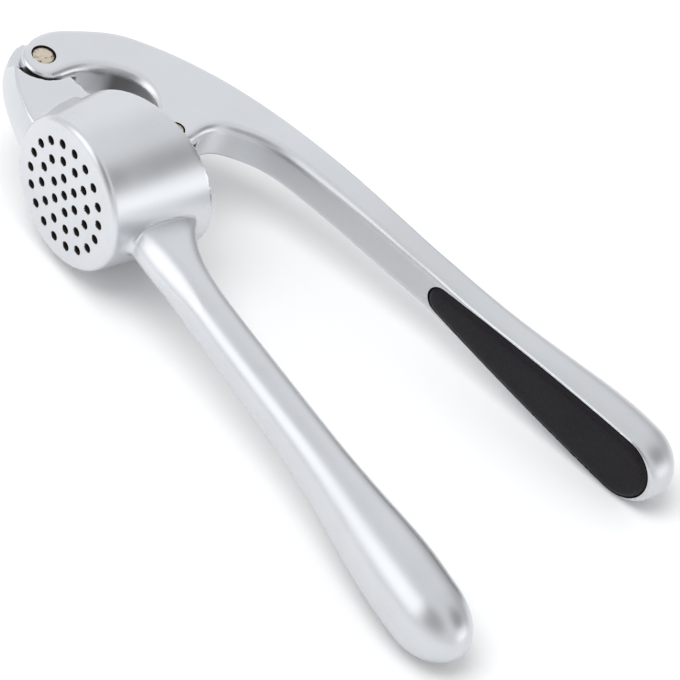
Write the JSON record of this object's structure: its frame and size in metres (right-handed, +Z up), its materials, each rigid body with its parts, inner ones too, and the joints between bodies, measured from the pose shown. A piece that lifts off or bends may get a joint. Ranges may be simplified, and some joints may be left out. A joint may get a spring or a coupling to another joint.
{
  "type": "garlic press",
  "caption": "Lever garlic press: cup with a perforated face on a rounded handle, hinged lever with a soft grip, and a swinging plunger.",
  "frame": {"origin": "middle of the footprint, on the surface that the press lies on", "axes": "+X along the lower handle away from the cup, +Y from the perforated face towards the mouth of the cup, +Z up and close to the pivot pins' direction"},
  "size_m": [0.1982, 0.0954, 0.0443],
  "materials": {
    "cast_body": "satin, fine bead-blasted",
    "cast_lever": "satin, fine bead-blasted",
    "cast_plunger": "satin, fine bead-blasted",
    "soft_grip": "soft-touch, matt",
    "pin_steel": "turned steel, slightly warm"
  },
  "bodies": {
    "base": {"press_body": "cast_body"},
    "lever": {"press_lever": "cast_lever", "handle_grip": "soft_grip", "hinge_pin": "pin_steel", "plunger_pin": "pin_steel"},
    "ram": {"plunger": "cast_plunger"}
  },
  "joints": [
    {"name": "lever_hinge", "type": "hinge", "parent": "base", "child": "lever", "pos_m": [-0.09176, -0.02638, 0.02608], "axis": [0.0922, 0.0151, 0.9956], "range_deg": [-16, 80]},
    {"name": "plunger_pivot", "type": "hinge", "parent": "lever", "child": "ram", "pos_m": [-0.05751, -0.00914, 0.02265], "axis": [0.0922, 0.0151, 0.9956], "range_deg": [-34, 7]}
  ],
  "couplings": [
    {"joint": "plunger_pivot", "follows": "lever_hinge", "ratio": -0.42}
  ]
}
